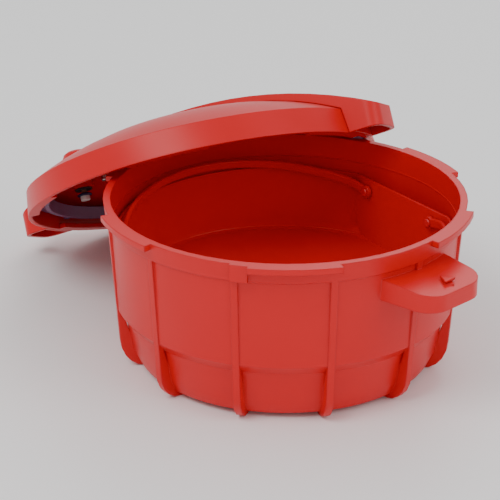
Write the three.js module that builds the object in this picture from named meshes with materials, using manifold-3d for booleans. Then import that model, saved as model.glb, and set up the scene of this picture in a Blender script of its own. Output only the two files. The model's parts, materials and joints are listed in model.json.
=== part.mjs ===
// Microwave pressure cooker: a ribbed pot, a lift-out inner pan with two bails, and a bayonet lid that
// leans on the pot. Millimetres, +Z up, origin on the pot's axis in the plane of its rib feet.
import * as THREE from "three";
import { mergeVertices } from "three/addons/utils/BufferGeometryUtils.js";
import Module from "manifold-3d";

const wasm = await Module();
wasm.setup();

// ---------- driving dimensions ----------
// Slivers thinner than this are merged away.
const TIDY = 0.004;
const GAP = 0.3; // clearance between neighbouring pieces
const SEG = 60; // facets round a full turn
const RAD = Math.PI / 180;

// pot
const POT_H = 111; // height of the rim above the rib feet
const WALL = 2.4;
const MOUTH_R = 112; // inner radius at the rim
const SHELF_Z = 41.2; // ledge that carries the inner pan
const SHELF_R = 108.6; // inner wall radius just above the ledge
const WELL_TOP_R = 103.2; // inner radius just below the ledge
const WELL_LOW_R = 99.2; // inner radius near the bottom
const WELL_LOW_Z = 13;
const FLOOR_Z = 1.6; // underside of the pot's floor
const PAD_R = 14; // flat moulding pad under the centre, level with the rib feet
const COLLAR_Z = 99.6;
const COLLAR_R = 115.6;
const RIM_R = 116.8;
const LUG_R = 121.6;
const LUG_T = 3.8;
const LUG_SPAN = 27;
const LUG_PITCH = 60;
const LUG_FIRST = 33;
const STOP_AT = -103.2;
const STOP_SPAN = 5.4;
const STOP_R = 118.7;
const RIB_COUNT = 12;
const RIB_W = 4.6;
const RIB_FIRST = 15;
const RIB_TOP_R = 115.4;
const RIB_LOW_R = 110.1;
const RIB_LOW_Z = 20;
const FOOT_R = 93.4;

// pot handles
const GRIP_AT = [-45, 135];
const GRIP_HALF = 29;
const GRIP_TIP_R = 147;
const GRIP_TOP_Z = 95.4;
const GRIP_DEEP = 14;
const GRIP_DROP = 3.2; // fall of the top face from root to tip
const GRIP_CORNER = 15;
const GRIP_T = 2.6;

// inner pan
const PAN_T = 1.9;
const PAN_FLOOR = SHELF_Z + GAP;
const PAN_RIM_Z = 88;
const PAN_LOW_R = 107.4;
const PAN_TOP_R = 109.6;
const PAN_FLAT = 98; // distance of each flat side from the axis
const PAN_TURN = 36; // direction of the first flat side

// bails
const BAIL_R = 103.6;
const BAIL_W = 3;
const BAIL_H = 6;
const BAIL_X = 93.9; // middle plane of the bail's end ears
const BAIL_PIVOT_Y = 33.7;
const BAIL_PIVOT_Z = 80;
const BAIL_RISE = 12.1; // degrees above level when folded down
const RIVET_R = 1.5;
const RIVET_HEAD_R = 3;
const RIVET_HEAD_T = 1.1;

// lid, in its own frame: bottom edge at z = 0, handles along x
const LID_R = 126.5;
const LID_TOP_R = 124.4;
const LID_IN_R = 123.6;
const SKIRT_H = 17.5;
const DOME_RISE = 29;
const DOME_POWER = 2.4; // above 2 the crown is flatter and its edge steeper
const LID_T = 2.5;
const LID_LUG_R = 118.4;
const LID_LUG_T = 3.4;
const LID_LUG_SPAN = 26;
const LID_LUG_FIRST = 48;
const LID_CENTRE = [-58.78, 118.84, 70.45];
const LID_TILT = 33.84;
const LID_LEAN = 113.62; // direction towards which the lid leans down
const LID_SPIN = -22.9; // handle axis, about the lid's own axis

// handle bridge over the lid
const BRIDGE_HALF = 21;
const BRIDGE_TIP = 148;
const BRIDGE_TIP_HALF = 17;
const BRIDGE_CORNER = 9;
const BRIDGE_MID_Z = 51;
const BRIDGE_END_Z = 15.3;
const BRIDGE_POWER = 2.1;
const BRIDGE_T = 2.6;
const BRIDGE_HOLLOW = [-78, 90]; // stretch between the solid ends that is open to the dome below

// gasket, in the lid's frame
const GASKET_LOW_R = 110.4;
const GASKET_TOP_R = 107.8;
const GASKET_OUT_R = 121.2;
const GASKET_LOW = 5.6;
const GASKET_TOP = 13.6;

// pressure valve, safety plug and screws, in the lid's frame
const VALVE_X = -98;
const VALVE_TIP_Z = 15;
const SEAT_Z = 42; // top of the valve's seat on the bridge
const SEAT_R = 17;
const KNOB_R = 13;
const KNOB_H = 10.6;
const PLUG_X = -56;
const BOSS_DROP = 3.4; // how far a flat boss stands below the sloping ceiling
const SCREW_X = [-86, 106];
const SCREW_Y = [-13, 13];
const SCREW_R = 1.5;

// ---------- colours ----------
const RED = 0xd3212b;
const paint = (color, roughness = 0.35, metalness = 0) =>
  new THREE.MeshStandardMaterial({ color, roughness, metalness });

// ---------- solids ----------
function solid(geometry) {
  const g = geometry.clone();
  g.deleteAttribute("normal");
  g.deleteAttribute("uv");
  const merged = mergeVertices(g, 1e-4);
  return new wasm.Manifold(
    new wasm.Mesh({
      numProp: 3,
      vertProperties: merged.attributes.position.array,
      triVerts: new Uint32Array(merged.index.array),
    }),
  );
}

function geometryOf(body) {
  const mesh = body.simplify(TIDY).getMesh();
  const g = new THREE.BufferGeometry();
  g.setAttribute("position", new THREE.BufferAttribute(mesh.vertProperties, 3));
  g.setIndex(new THREE.BufferAttribute(mesh.triVerts, 1));
  return g;
}

const add = (first, ...rest) => rest.reduce((sum, next) => sum.add(next), first);
const cut = (first, ...rest) => rest.reduce((left, next) => left.subtract(next), first);

// A closed profile of [radius, height] points turned about Z, counter-clockwise in the (r, z) plane.
function turned(points, segments = SEG) {
  const g = new THREE.LatheGeometry(
    points.map(([r, z]) => new THREE.Vector2(r, z)),
    segments,
  );
  g.rotateX(Math.PI / 2);
  return g;
}

// A flat outline of [x, y] points, raised along Z from low to high.
function raised(points, low, high) {
  const shape = new THREE.Shape(points.map(([x, y]) => new THREE.Vector2(x, y)));
  const g = new THREE.ExtrudeGeometry(shape, { depth: high - low, bevelEnabled: false });
  return g.translate(0, 0, low);
}

// A side profile of [x, z] points, thick along Y about y = 0.
function slab(points, width) {
  const g = raised(points, -width / 2, width / 2);
  return g.rotateX(Math.PI / 2);
}

function disc(radius, low, high, segments = 24) {
  const g = new THREE.CylinderGeometry(radius, radius, high - low, segments);
  return g.rotateX(Math.PI / 2).translate(0, 0, (low + high) / 2);
}

function box(size, centre) {
  return new THREE.BoxGeometry(...size).translate(...centre);
}

// Part of a ring between two radii, centred on an angle in degrees.
function sector(inner, outer, at, span, low, high) {
  const steps = Math.max(2, Math.round(span / 5));
  const angles = Array.from({ length: steps + 1 }, (_, i) => (at - span / 2 + (span * i) / steps) * RAD);
  const arc = (r, list) => list.map((a) => [r * Math.cos(a), r * Math.sin(a)]);
  return raised([...arc(outer, angles), ...arc(inner, [...angles].reverse())], low, high);
}

// A wing outline along +X: straight sides that draw in to a rounded tip.
function wing(root, tip, half, tipHalf, corner) {
  const points = [[root, -half]];
  for (const side of [-1, 1]) {
    for (let i = 0; i <= 6; i++) {
      const a = side < 0 ? -90 + i * 15 : i * 15;
      const x = tip - corner + corner * Math.cos(a * RAD);
      points.push([x, side * (tipHalf - corner) + corner * Math.sin(a * RAD)]);
    }
  }
  points.push([root, half]);
  return points;
}

const pieces = [];
function piece(name, geometry, material, place) {
  const mesh = new THREE.Mesh(geometry, material);
  mesh.name = name;
  if (place) mesh.applyMatrix4(place);
  pieces.push(mesh);
}

// ---------- pot ----------
const wallAt = (z) => SHELF_R + ((z - SHELF_Z) * (MOUTH_R - SHELF_R)) / (POT_H - SHELF_Z);

function potCavity() {
  return solid(
    turned([
      [0, FLOOR_Z + WALL],
      [90, FLOOR_Z + WALL],
      [96, FLOOR_Z + WALL + 2.6],
      [WELL_LOW_R, WELL_LOW_Z],
      [WELL_TOP_R, SHELF_Z - 5],
      [WELL_TOP_R + 1.2, SHELF_Z],
      [SHELF_R, SHELF_Z],
      [MOUTH_R, POT_H],
      [MOUTH_R, POT_H + 20],
      [0, POT_H + 20],
    ]),
  );
}

function potRib(at) {
  const low = [];
  const round = RIB_LOW_R - FOOT_R;
  for (let i = 0; i <= 5; i++) {
    const a = (i * 18 * Math.PI) / 180;
    low.push([FOOT_R + round * Math.sin(a), RIB_LOW_Z * (1 - Math.cos(a))]);
  }
  const side = [[84, 0], ...low, [RIB_TOP_R, COLLAR_Z + 1], [wallAt(100) + 1, COLLAR_Z + 1]];
  side.push([wallAt(46) + 1, 46], [WELL_LOW_R + 1, WELL_LOW_Z], [84, FLOOR_Z + 1]);
  return solid(slab(side, RIB_W).rotateZ(at * RAD));
}

function potGrip(at) {
  const outline = wing(104, GRIP_TIP_R, GRIP_HALF, GRIP_HALF - 3, GRIP_CORNER);
  const inside = wing(wallAt(90) + WALL + 1, GRIP_TIP_R - GRIP_T, GRIP_HALF - GRIP_T,
      GRIP_HALF - 3 - GRIP_T, 13);
  const shell = raised(outline, GRIP_TOP_Z - GRIP_DEEP, GRIP_TOP_Z);
  const hollow = raised(inside, GRIP_TOP_Z - GRIP_DEEP - 5, GRIP_TOP_Z - GRIP_T);
  for (const g of [shell, hollow]) {
    const p = g.attributes.position;
    for (let i = 0; i < p.count; i++) {
      const out = Math.max(0, (p.getX(i) - RIM_R) / (GRIP_TIP_R - RIM_R));
      const shorter = p.getZ(i) < GRIP_TOP_Z - GRIP_DEEP / 2 ? 3.4 * out : 0;
      p.setZ(i, p.getZ(i) - GRIP_DROP * out + shorter);
    }
  }
  const mark = raised([[137, -4.5], [142, 0], [137, 4.5]], GRIP_TOP_Z - 4, GRIP_TOP_Z - GRIP_DROP + 1.4);
  return cut(add(solid(shell), solid(mark)), solid(hollow)).rotate([0, 0, at]);
}

function potBody() {
  let body = solid(
    turned([
      [0, FLOOR_Z],
      [91, FLOOR_Z],
      [97.5, FLOOR_Z + 2.6],
      [WELL_LOW_R + WALL, WELL_LOW_Z],
      [WELL_TOP_R + WALL, SHELF_Z - 6],
      [SHELF_R + WALL, SHELF_Z + 0.6],
      [wallAt(COLLAR_Z) + WALL, COLLAR_Z - 1],
      [COLLAR_R, COLLAR_Z],
      [RIM_R, POT_H],
      [0, POT_H],
    ]),
  );
  for (let k = 0; k < 6; k++) {
    const at = LUG_FIRST + k * LUG_PITCH;
    body = body.add(solid(sector(MOUTH_R + 2, LUG_R, at, LUG_SPAN, POT_H - LUG_T, POT_H)));
  }
  for (const at of [STOP_AT, STOP_AT + 180]) {
    body = body.add(solid(sector(MOUTH_R + 2, STOP_R, at, STOP_SPAN, COLLAR_Z + 0.4, POT_H)));
  }
  body = body.add(solid(disc(PAD_R, 0, FLOOR_Z + 1)));
  for (let k = 0; k < RIB_COUNT; k++) body = body.add(potRib(RIB_FIRST + k * 30));
  for (const at of GRIP_AT) body = body.add(potGrip(at));
  return cut(body, potCavity());
}

// ---------- inner pan ----------
function panSolid(inset) {
  const low = PAN_FLOOR + inset;
  const drum = solid(
    turned([
      [0, low],
      [PAN_LOW_R - 5 - inset, low],
      [PAN_LOW_R - 1.2 - inset, low + 1.6],
      [PAN_LOW_R - inset, low + 6],
      [PAN_TOP_R - inset, PAN_RIM_Z],
      [PAN_TOP_R - inset, PAN_RIM_Z + (inset ? 10 : 0)],
      [0, PAN_RIM_Z + (inset ? 10 : 0)],
    ]),
  );
  const flat = 2 * (PAN_FLAT - inset);
  return drum.intersect(solid(box([flat, 300, 200], [0, 0, 60])));
}

function pivotSpots() {
  return [
    [1, 1],
    [-1, 1],
    [-1, -1],
    [1, -1],
  ];
}

function along(x, y, z, side) {
  // Matrix that lays a Z-built part along +X or -X at a point.
  const turn = new THREE.Matrix4().makeRotationY((side * Math.PI) / 2);
  return turn.setPosition(x, y, z);
}

function innerPan() {
  let pan = cut(panSolid(0), panSolid(PAN_T));
  for (const [sx, sy] of pivotSpots()) {
    const bore = disc(RIVET_R + GAP, -6, 6, 12);
    bore.applyMatrix4(along(sx * PAN_FLAT, sy * BAIL_PIVOT_Y, BAIL_PIVOT_Z, sx));
    pan = pan.subtract(solid(bore));
  }
  return pan;
}

function rivet(sx, sy) {
  const inner = -(PAN_FLAT - BAIL_X) - BAIL_W / 2 - GAP;
  const outer = GAP;
  const body = solid(
    turned(
      [
        [0, inner - RIVET_HEAD_T],
        [RIVET_HEAD_R - 0.6, inner - RIVET_HEAD_T],
        [RIVET_HEAD_R, inner - 0.4],
        [RIVET_HEAD_R, inner],
        [RIVET_R, inner],
        [RIVET_R, outer],
        [RIVET_HEAD_R, outer],
        [RIVET_HEAD_R - 0.6, outer + RIVET_HEAD_T],
        [0, outer + RIVET_HEAD_T],
      ],
      16,
    ),
  );
  const g = geometryOf(body);
  return g.applyMatrix4(along(sx * PAN_FLAT, sy * BAIL_PIVOT_Y, BAIL_PIVOT_Z, sx));
}

// ---------- bails ----------
// A bail in its own frame: pivot axis along X through the origin, the bow towards +Y.
function bail() {
  const stretch = 1 / Math.cos(BAIL_RISE * RAD);
  const first = Math.acos(BAIL_X / BAIL_R);
  const bow = (x, y) => new THREE.Vector3(x, (y - BAIL_PIVOT_Y) * stretch, 0);
  const points = [bow(BAIL_X, BAIL_PIVOT_Y), bow(BAIL_X, BAIL_PIVOT_Y + 4)];
  for (let i = 0; i <= 16; i++) {
    const a = first + 0.04 + ((Math.PI - 2 * first - 0.08) * i) / 16;
    points.push(bow(BAIL_R * Math.cos(a), BAIL_R * Math.sin(a)));
  }
  points.push(bow(-BAIL_X, BAIL_PIVOT_Y + 4), bow(-BAIL_X, BAIL_PIVOT_Y));
  const path = new THREE.CatmullRomCurve3(points, false, "centripetal");
  const w = BAIL_W / 2;
  const h = BAIL_H / 2;
  const c = 0.8;
  const section = new THREE.Shape(
    [
      [w, h - c],
      [w - c, h],
      [c - w, h],
      [-w, h - c],
      [-w, c - h],
      [c - w, -h],
      [w - c, -h],
      [w, c - h],
    ].map(([x, y]) => new THREE.Vector2(y, x)),
  );
  const bar = new THREE.ExtrudeGeometry(section, { steps: 40, extrudePath: path, bevelEnabled: false });
  let body = solid(bar);
  for (const side of [-1, 1]) {
    const ear = disc(BAIL_H / 2 + 1.2, -w, w, 20).applyMatrix4(along(side * BAIL_X, 0, 0, 1));
    const hole = disc(RIVET_R + GAP, -6, 6, 12).applyMatrix4(along(side * BAIL_X, 0, 0, 1));
    body = body.add(solid(ear)).subtract(solid(hole));
  }
  return body;
}

function bailPlace(turn) {
  const lean = new THREE.Matrix4().makeRotationX(BAIL_RISE * RAD);
  const up = new THREE.Matrix4().makeTranslation(0, BAIL_PIVOT_Y, BAIL_PIVOT_Z);
  const spin = new THREE.Matrix4().makeRotationZ(turn * RAD);
  return spin.multiply(up).multiply(lean);
}

// ---------- lid ----------
const domeAt = (r) => SKIRT_H + DOME_RISE * (1 - Math.min(1, r / LID_TOP_R) ** DOME_POWER);

// Points of the dome from its edge to the axis, moved up by an offset.
function domeLine(edge, offset) {
  return [1, 0.94, 0.86, 0.76, 0.62, 0.45, 0.25, 0].map((share) => {
    const r = edge * share;
    return [r, domeAt(r) + offset];
  });
}

function lidOuter(offset) {
  const low = offset ? -5 : 0;
  const skirt = offset ? [[LID_R + offset, low], [LID_R + offset, 0]] : [[LID_R, 0]];
  return solid(turned([[0, low], ...skirt, ...domeLine(LID_TOP_R + offset, offset)]));
}

function lidCavity() {
  return solid(turned([[0, -5], [LID_IN_R, -5], [LID_IN_R, 0.5], ...domeLine(LID_TOP_R - LID_T, -LID_T)]));
}

const post = (r, x, y, low, high, segments = 20) => solid(disc(r, low, high, segments).translate(x, y, 0));

function lidShell() {
  const outer = lidOuter(0);
  let shell = outer.subtract(lidCavity());
  for (let k = 0; k < 6; k++) {
    const at = LID_LUG_FIRST + k * LUG_PITCH;
    shell = shell.add(solid(sector(LID_LUG_R, LID_IN_R + 1, at, LID_LUG_SPAN, 0, LID_LUG_T)));
  }
  for (const x of [VALVE_X, PLUG_X]) {
    const roof = domeAt(Math.abs(x));
    const boss = post(8, x, 0, roof - LID_T - BOSS_DROP, roof + 5).intersect(outer);
    shell = shell.add(boss).subtract(post(4.3, x, 0, 0, 60));
  }
  for (const x of SCREW_X) {
    for (const y of SCREW_Y) shell = shell.subtract(post(SCREW_R + GAP, x, y, 0, 60, 12));
  }
  return shell;
}

const bridgeFall = (BRIDGE_MID_Z - BRIDGE_END_Z) / BRIDGE_TIP ** BRIDGE_POWER;
const bridgeTop = (x) => BRIDGE_MID_Z - bridgeFall * Math.abs(x) ** BRIDGE_POWER;

// The whole bridge with its two wings as one block, or the same block drawn in on every side.
function bridgeBlock(inset) {
  const top = [];
  const reach = BRIDGE_TIP - inset;
  for (let i = 0; i <= 20; i++) {
    const x = reach - (2 * reach * i) / 20;
    top.push([x, bridgeTop(x) - inset]);
  }
  const low = inset ? -20 : 0;
  const plan = wing(-3, reach, BRIDGE_HALF - inset, BRIDGE_TIP_HALF - inset, BRIDGE_CORNER - inset / 2);
  const half = raised(plan, -40, 80);
  const other = half.clone().rotateZ(Math.PI);
  return solid(slab([[-reach, low], [reach, low], ...top], 120)).intersect(solid(half).add(solid(other)));
}

function handleBridge() {
  const seat = turned([[0, 30], [BRIDGE_HALF - 1, 30], [BRIDGE_HALF - 1, SEAT_Z - 7],
      [SEAT_R, SEAT_Z], [0, SEAT_Z]], 32);
  const [from, to] = BRIDGE_HOLLOW;
  const inner = bridgeBlock(BRIDGE_T);
  const wings = inner.subtract(solid(disc(LID_R + GAP + BRIDGE_T, -60, 90, SEG)));
  const middle = inner.intersect(solid(box([to - from, 100, 100], [(to + from) / 2, 0, 30])));
  let bridge = bridgeBlock(0).add(solid(seat.translate(VALVE_X, 0, 0)));
  bridge = cut(bridge, lidOuter(GAP), wings, middle);
  bridge = cut(bridge, post(5, VALVE_X, 0, 0, 60), post(9, PLUG_X, 0, 0, 60));
  for (const x of SCREW_X) {
    for (const y of SCREW_Y) bridge = bridge.subtract(post(SCREW_R + GAP, x, y, 0, domeAt(Math.hypot(x,
        y)) + 3.4, 12));
  }
  return bridge;
}

function gasket() {
  const top = (r) => domeAt(r) - LID_T - GAP;
  const ring = solid(
    turned([
      [GASKET_LOW_R, GASKET_LOW],
      [GASKET_LOW_R + 3, GASKET_LOW],
      [GASKET_LOW_R + 6, GASKET_LOW + 4.4],
      [GASKET_OUT_R, GASKET_LOW + 4.4],
      [GASKET_OUT_R, top(GASKET_OUT_R) - 0.6],
      [GASKET_LOW_R + 4, top(GASKET_OUT_R) - 0.6],
      [GASKET_TOP_R + 2, GASKET_TOP],
      [GASKET_TOP_R, GASKET_TOP],
      [GASKET_LOW_R, GASKET_LOW],
    ]),
  );
  return ring.add(solid(box([3, 5, 5], [-(GASKET_LOW_R + 6.5), 0, GASKET_LOW + 3.2])));
}

function screw(x, y) {
  const roof = domeAt(Math.hypot(x, y));
  const seat = roof - LID_T - 1.7 - GAP;
  const tip = roof + 3;
  const line = [[0, seat - 1.8], [2.2, seat - 1.8], [2.8, seat - 1], [2.8, seat], [SCREW_R, seat]];
  return turned([...line, [SCREW_R, tip], [0, tip]], 12).translate(x, y, 0);
}

// A ring between two radii and two heights.
const ringLine = (inner, outer, low, high) => [[inner, low], [outer, low], [outer, high],
    [inner, high], [inner, low]];

function valvePieces(place) {
  const boss = domeAt(Math.abs(VALVE_X)) - LID_T - BOSS_DROP;
  const put = (name, line, material, segments = 20) =>
    piece(name, turned(line, segments).translate(VALVE_X, 0, 0), material, place);
  const tip = VALVE_TIP_Z;
  const knob = SEAT_Z + GAP;
  put("valve_sleeve", [[2.3, boss - 1.5], [6.4, boss - 1.5], [6.4, boss - GAP], [4, boss - GAP],
      [4, SEAT_Z - 1], [2.3, SEAT_Z - 1],
    [2.3, boss - 1.5]], paint(0x2c2c34, 0.6));
  put("valve_tip", [[0, tip], [3.2, tip], [3.6, tip + 0.6], [3.6, tip + 3.4],
      [0, tip + 3.4]], paint(0xd9d6cf, 0.5));
  put("valve_stem", [[0, tip + 3.7], [1.9, tip + 3.7], [1.9, knob + 3],
      [0, knob + 3]], paint(0x8a5a50, 0.5));
  put("valve_seal", [[2.2, tip + 3.7], [5.6, tip + 3.7], [5.6, tip + 4.6], [4.2, tip + 5.4],
      [2.2, tip + 5.4], [2.2, tip + 3.7]],
    paint(0x2b2350, 0.5));
  put("valve_knob", [[0, knob + 6.6], [8.4, knob + 6.6], [8.4, knob], [KNOB_R, knob],
      [KNOB_R, knob + 2.4], [9.4, knob + KNOB_H - 1.6],
    [6.6, knob + KNOB_H], [0, knob + KNOB_H]], paint(RED, 0.4), 28);
  put("valve_weight", ringLine(2.2, 8.1, knob + 0.6, knob + 6.3), paint(0xb9bcc0, 0.3, 0.9));
}

function plugPieces(place) {
  const roof = domeAt(Math.abs(PLUG_X));
  const boss = roof - LID_T - BOSS_DROP;
  const put = (name, line, material) => piece(name, turned(line, 20).translate(PLUG_X, 0, 0), material,
      place);
  put("safety_plug", [[2.2, boss - 3], [5.4, boss - 3], [6.6, boss - GAP], [4, boss - GAP],
      [4, roof + 1.6], [6, roof + 1.6],
    [5, roof + 3.4], [2.2, roof + 3.4], [2.2, boss - 3]], paint(0x2b2350, 0.6));
  put("safety_pin", [[0, boss - 3.6], [1.9, boss - 3.6], [1.9, roof + 4],
      [0, roof + 4]], paint(0xd9d6cf, 0.5));
}

function lidPlace() {
  const normal = new THREE.Vector3(
    Math.sin(LID_TILT * RAD) * Math.cos(LID_LEAN * RAD),
    Math.sin(LID_TILT * RAD) * Math.sin(LID_LEAN * RAD),
    Math.cos(LID_TILT * RAD),
  );
  const turn = new THREE.Quaternion().setFromUnitVectors(new THREE.Vector3(0, 0, 1), normal);
  const m = new THREE.Matrix4().makeRotationFromQuaternion(turn).setPosition(...LID_CENTRE);
  return m.multiply(new THREE.Matrix4().makeRotationZ(LID_SPIN * RAD));
}

// ---------- assembly ----------
piece("pot_body", geometryOf(potBody()), paint(RED));

const panPlace = new THREE.Matrix4().makeRotationZ(PAN_TURN * RAD);
piece("inner_pan", geometryOf(innerPan()), paint(RED), panPlace);
pivotSpots().forEach(([sx, sy], i) => {
  piece(`bail_rivet_${i + 1}`, rivet(sx, sy), paint(0xb3161f, 0.4), panPlace);
});
piece("far_bail", geometryOf(bail()), paint(RED), bailPlace(PAN_TURN));
piece("near_bail", geometryOf(bail()), paint(RED), bailPlace(PAN_TURN + 180));

const onLid = lidPlace();
piece("lid_shell", geometryOf(lidShell()), paint(RED), onLid);
piece("handle_bridge", geometryOf(handleBridge()), paint(RED), onLid);
piece("gasket", geometryOf(gasket()), paint(0x5a3050, 0.5), onLid);
SCREW_X.forEach((x, i) => {
  SCREW_Y.forEach((y, j) => {
    piece(`bridge_screw_${2 * i + j + 1}`, screw(x, y), paint(0xb9bcc0, 0.3, 0.9), onLid);
  });
});
valvePieces(onLid);
plugPieces(onLid);

const cooker = new THREE.Group();
cooker.add(...pieces);
export default cooker;
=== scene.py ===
import json
import math

import bpy
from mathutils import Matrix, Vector


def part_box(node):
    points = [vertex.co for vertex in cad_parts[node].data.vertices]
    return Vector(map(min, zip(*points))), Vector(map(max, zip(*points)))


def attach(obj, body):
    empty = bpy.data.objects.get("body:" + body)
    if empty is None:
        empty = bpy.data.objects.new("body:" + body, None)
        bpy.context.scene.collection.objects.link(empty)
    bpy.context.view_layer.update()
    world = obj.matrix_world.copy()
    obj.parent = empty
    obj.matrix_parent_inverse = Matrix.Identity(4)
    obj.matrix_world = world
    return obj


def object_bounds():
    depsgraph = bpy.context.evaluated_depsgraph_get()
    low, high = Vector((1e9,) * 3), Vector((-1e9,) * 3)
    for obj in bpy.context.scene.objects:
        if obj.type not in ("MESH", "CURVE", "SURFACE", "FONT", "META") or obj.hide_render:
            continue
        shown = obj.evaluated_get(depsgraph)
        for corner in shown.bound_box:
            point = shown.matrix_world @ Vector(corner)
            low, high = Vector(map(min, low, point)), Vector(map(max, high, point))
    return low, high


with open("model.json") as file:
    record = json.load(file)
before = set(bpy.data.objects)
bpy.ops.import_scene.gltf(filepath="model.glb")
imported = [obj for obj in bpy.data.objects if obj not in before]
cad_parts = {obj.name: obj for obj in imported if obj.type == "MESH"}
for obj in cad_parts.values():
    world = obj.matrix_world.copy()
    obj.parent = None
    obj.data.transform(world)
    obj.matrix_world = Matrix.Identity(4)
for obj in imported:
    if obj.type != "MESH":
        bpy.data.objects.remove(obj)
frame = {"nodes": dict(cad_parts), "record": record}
packed = [list(v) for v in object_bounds()]

# metres and radians
SMOOTH_BELOW = math.radians(28)  # edges shallower than this are shaded smooth
WELD = 0.000005  # vertices closer than this are joined
BODY_EDGE = 0.0012  # rounding drawn on the edges of the big mouldings
SEAL_EDGE = 0.0005
SMALL_EDGE = 0.0003
METAL_EDGE = 0.0002
CLOUD = 26  # scale of the slow colour change

FILL_LINE_R = 0.1112  # inner wall radius at the fill line
FILL_LINE_DROP = 0.0155  # fill line below the rim
FILL_LINE_T = 0.0005
GRIP_TURN = math.radians(-45)  # the front grip's direction
MARK_FROM = 0.131
MARK_TO = 0.139
MARK_HALF = 0.0045
MARK_TOP = 0.0957
MARK_DEPTH = 0.0012

LENS = 123.86
EYE = (0, -1.02848, 0.5168)
AIM = (-0.0227, 0.0083, 0.0674)
LIGHT_AIM = (0, 0, 0.06)
BACK_LIGHT_AIM = (0, 0.05, 0.06)


# ---------- materials ----------
def tree_of(name):
    m = bpy.data.materials.new(name)
    m.use_nodes = True
    t = m.node_tree
    return m, t, t.nodes["Principled BSDF"]


def noise(t, scale, detail=4.0, rough=0.55):
    place = t.nodes.new("ShaderNodeTexCoord")
    n = t.nodes.new("ShaderNodeTexNoise")
    n.inputs["Scale"].default_value = scale
    n.inputs["Detail"].default_value = detail
    n.inputs["Roughness"].default_value = rough
    t.links.new(place.outputs["Object"], n.inputs["Vector"])
    return n


def spread(t, source, low, high):
    r = t.nodes.new("ShaderNodeMapRange")
    r.inputs["To Min"].default_value = low
    r.inputs["To Max"].default_value = high
    t.links.new(source, r.inputs["Value"])
    return r.outputs["Result"]


def mixed(t, factor, a, b):
    m = t.nodes.new("ShaderNodeMix")
    m.data_type = "RGBA"
    m.inputs["A"].default_value = (*a, 1)
    m.inputs["B"].default_value = (*b, 1)
    t.links.new(factor, m.inputs["Factor"])
    return m.outputs["Result"]


def moulded(name, a, b, rough, grain, depth, edge, metal=0.0):
    """A procedural finish: colour a to b in soft clouds, fine grain of that depth, and rounded edges."""
    m, t, p = tree_of(name)
    cloud = noise(t, CLOUD)
    fine = noise(t, grain, 6.0, 0.6)
    t.links.new(mixed(t, cloud.outputs["Fac"], a, b), p.inputs["Base Color"])
    t.links.new(spread(t, fine.outputs["Fac"], rough - 0.05, rough + 0.07), p.inputs["Roughness"])
    p.inputs["Metallic"].default_value = metal
    p.inputs["Specular IOR Level"].default_value = 0.35
    bevel = t.nodes.new("ShaderNodeBevel")
    bevel.samples = 6
    bevel.inputs["Radius"].default_value = edge
    bump = t.nodes.new("ShaderNodeBump")
    bump.inputs["Strength"].default_value = 0.25
    bump.inputs["Distance"].default_value = depth
    t.links.new(fine.outputs["Fac"], bump.inputs["Height"])
    t.links.new(bevel.outputs["Normal"], bump.inputs["Normal"])
    t.links.new(bump.outputs["Normal"], p.inputs["Normal"])
    return m


LOOKS = {
    "red_plastic": moulded(
        "red_plastic", (0.60, 0.0015, 0.004), (0.66, 0.0025, 0.006), 0.36, 900, 0.00006, BODY_EDGE
    ),
    "rivet_plastic": moulded(
        "rivet_plastic", (0.58, 0.008, 0.014), (0.64, 0.012, 0.02), 0.34, 1200, 0.00005, SMALL_EDGE
    ),
    "gasket_silicone": moulded(
        "gasket_silicone", (0.13, 0.045, 0.12), (0.17, 0.06, 0.15), 0.42, 700, 0.00005, SEAL_EDGE
    ),
    "dark_silicone": moulded(
        "dark_silicone", (0.02, 0.018, 0.075), (0.03, 0.025, 0.09), 0.45, 900, 0.00004, SMALL_EDGE
    ),
    "dark_polymer": moulded(
        "dark_polymer", (0.03, 0.03, 0.035), (0.045, 0.045, 0.05), 0.5, 1100, 0.00005, SMALL_EDGE
    ),
    "valve_stem_polymer": moulded(
        "valve_stem_polymer", (0.26, 0.10, 0.065), (0.32, 0.13, 0.085), 0.45, 1100, 0.00004, SMALL_EDGE
    ),
    "pale_polymer": moulded(
        "pale_polymer", (0.60, 0.57, 0.53), (0.68, 0.65, 0.61), 0.42, 1000, 0.00004, SMALL_EDGE
    ),
    "steel": moulded(
        "steel", (0.52, 0.53, 0.54), (0.60, 0.61, 0.62), 0.30, 1500, 0.00003, METAL_EDGE, metal=1.0
    ),
}


def smoothing():
    """Joins doubled vertices, then shades smooth across every edge shallower than SMOOTH_BELOW."""
    g = bpy.data.node_groups.new("smooth_by_angle", "GeometryNodeTree")
    g.interface.new_socket("Geometry", in_out="INPUT", socket_type="NodeSocketGeometry")
    g.interface.new_socket("Geometry", in_out="OUTPUT", socket_type="NodeSocketGeometry")
    start, end = g.nodes.new("NodeGroupInput"), g.nodes.new("NodeGroupOutput")
    weld = g.nodes.new("GeometryNodeMergeByDistance")
    weld.inputs["Distance"].default_value = WELD
    faces = g.nodes.new("GeometryNodeSetShadeSmooth")
    edges = g.nodes.new("GeometryNodeSetShadeSmooth")
    edges.domain = "EDGE"
    edges.inputs["Shade Smooth"].default_value = False
    angle = g.nodes.new("GeometryNodeInputMeshEdgeAngle")
    steep = g.nodes.new("FunctionNodeCompare")
    steep.operation = "GREATER_THAN"
    steep.inputs["B"].default_value = SMOOTH_BELOW
    g.links.new(start.outputs[0], weld.inputs["Geometry"])
    g.links.new(weld.outputs["Geometry"], faces.inputs["Geometry"])
    g.links.new(faces.outputs["Geometry"], edges.inputs["Geometry"])
    g.links.new(angle.outputs["Unsigned Angle"], steep.inputs["A"])
    g.links.new(steep.outputs["Result"], edges.inputs["Selection"])
    g.links.new(edges.outputs["Geometry"], end.inputs[0])
    return g


SMOOTHING = smoothing()


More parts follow.
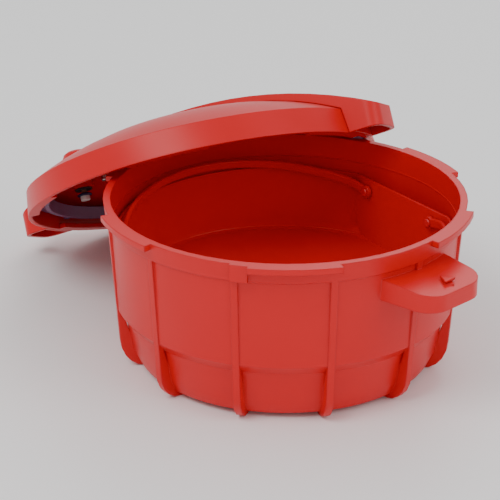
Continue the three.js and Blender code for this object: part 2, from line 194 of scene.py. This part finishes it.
def finish_mesh(o, slot_name):
    o.data.materials.clear()
    o.data.materials.append(LOOKS[slot_name])
    stored = o.data.attributes.get("custom_normal")
    if stored:
        o.data.attributes.remove(stored)
    o.modifiers.new("smooth", "NODES").node_group = SMOOTHING
    o.modifiers.new("even_normals", "WEIGHTED_NORMAL").keep_sharp = True


for part in frame["record"]["subparts"]:
    finish_mesh(frame["nodes"][part["node"]], part["material_slot"])


# ---------- fine details ----------
def shown(name, verts, faces, body, slot_name):
    mesh = bpy.data.meshes.new(name)
    mesh.from_pydata([tuple(v) for v in verts], [], faces)
    mesh.validate()
    o = bpy.data.objects.new(name, mesh)
    bpy.context.scene.collection.objects.link(o)
    finish_mesh(o, slot_name)
    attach(o, body)
    return o


def bead(name, radius, z, thick, body, slot_name, around=240, section=10):
    verts, faces = [], []
    for i in range(around):
        a = 2 * math.pi * i / around
        for j in range(section):
            b = 2 * math.pi * j / section
            r = radius + thick * math.cos(b)
            verts.append((r * math.cos(a), r * math.sin(a), z + thick * math.sin(b)))
    for i in range(around):
        for j in range(section):
            here, ahead = i * section, (i + 1) % around * section
            up = (j + 1) % section
            faces.append((here + j, ahead + j, ahead + up, here + up))
    return shown(name, verts, faces, body, slot_name)


def prism(name, outline, top, depth, body, slot_name):
    n = len(outline)
    verts = [(x, y, top - depth) for x, y in outline] + [(x, y, top) for x, y in outline]
    faces = [tuple(range(n - 1, -1, -1)), tuple(range(n, 2 * n))]
    faces += [(i, (i + 1) % n, n + (i + 1) % n, n + i) for i in range(n)]
    return shown(name, verts, faces, body, slot_name)


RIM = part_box("pot_body")[1].z
# fill line moulded round the inside of the wall
bead("fill_line", FILL_LINE_R, RIM - FILL_LINE_DROP, FILL_LINE_T, "pot", "red_plastic")
# alignment mark on the front grip: it points to the pot's axis
out = Vector((math.cos(GRIP_TURN), math.sin(GRIP_TURN)))
side = Vector((-math.sin(GRIP_TURN), math.cos(GRIP_TURN)))
mark = [out * MARK_FROM, out * MARK_TO + side * MARK_HALF, out * MARK_TO - side * MARK_HALF]
prism("grip_mark", [tuple(p) for p in mark], MARK_TOP, MARK_DEPTH, "pot", "red_plastic")

# ---------- stage ----------
bpy.ops.mesh.primitive_plane_add(size=30, location=(0, 0, min(0.0, packed[0][2])))
floor = bpy.context.object
floor.name = "floor"
fm, ft, fp = tree_of("floor_white")
fp.inputs["Base Color"].default_value = (0.92, 0.92, 0.92, 1)
fp.inputs["Roughness"].default_value = 0.7
floor.data.materials.append(fm)


def lamp(name, place, aim, size, power):
    data = bpy.data.lights.new(name, "AREA")
    data.shape = "DISK"
    data.size = size
    data.energy = power
    o = bpy.data.objects.new(name, data)
    o.location = place
    o.rotation_euler = (Vector(aim) - Vector(place)).to_track_quat("-Z", "Y").to_euler()
    bpy.context.scene.collection.objects.link(o)


lamp("key", (-0.9, -0.9, 1.7), LIGHT_AIM, 1.1, 17)
lamp("fill", (1.4, -0.8, 1.1), LIGHT_AIM, 1.2, 7)
lamp("back", (0.3, 1.6, 1.5), BACK_LIGHT_AIM, 1.2, 9)
world = bpy.data.worlds.new("studio")
world.use_nodes = True
world.node_tree.nodes["Background"].inputs["Color"].default_value = (1, 1, 1, 1)
world.node_tree.nodes["Background"].inputs["Strength"].default_value = 0.75
bpy.context.scene.world = world

camera = bpy.data.cameras.new("camera")
camera.lens = LENS
camera.sensor_width = 36
eye = bpy.data.objects.new("camera", camera)
eye.location = EYE
eye.rotation_euler = (Vector(AIM) - eye.location).to_track_quat("-Z", "Y").to_euler()
bpy.context.scene.collection.objects.link(eye)
bpy.context.scene.camera = eye
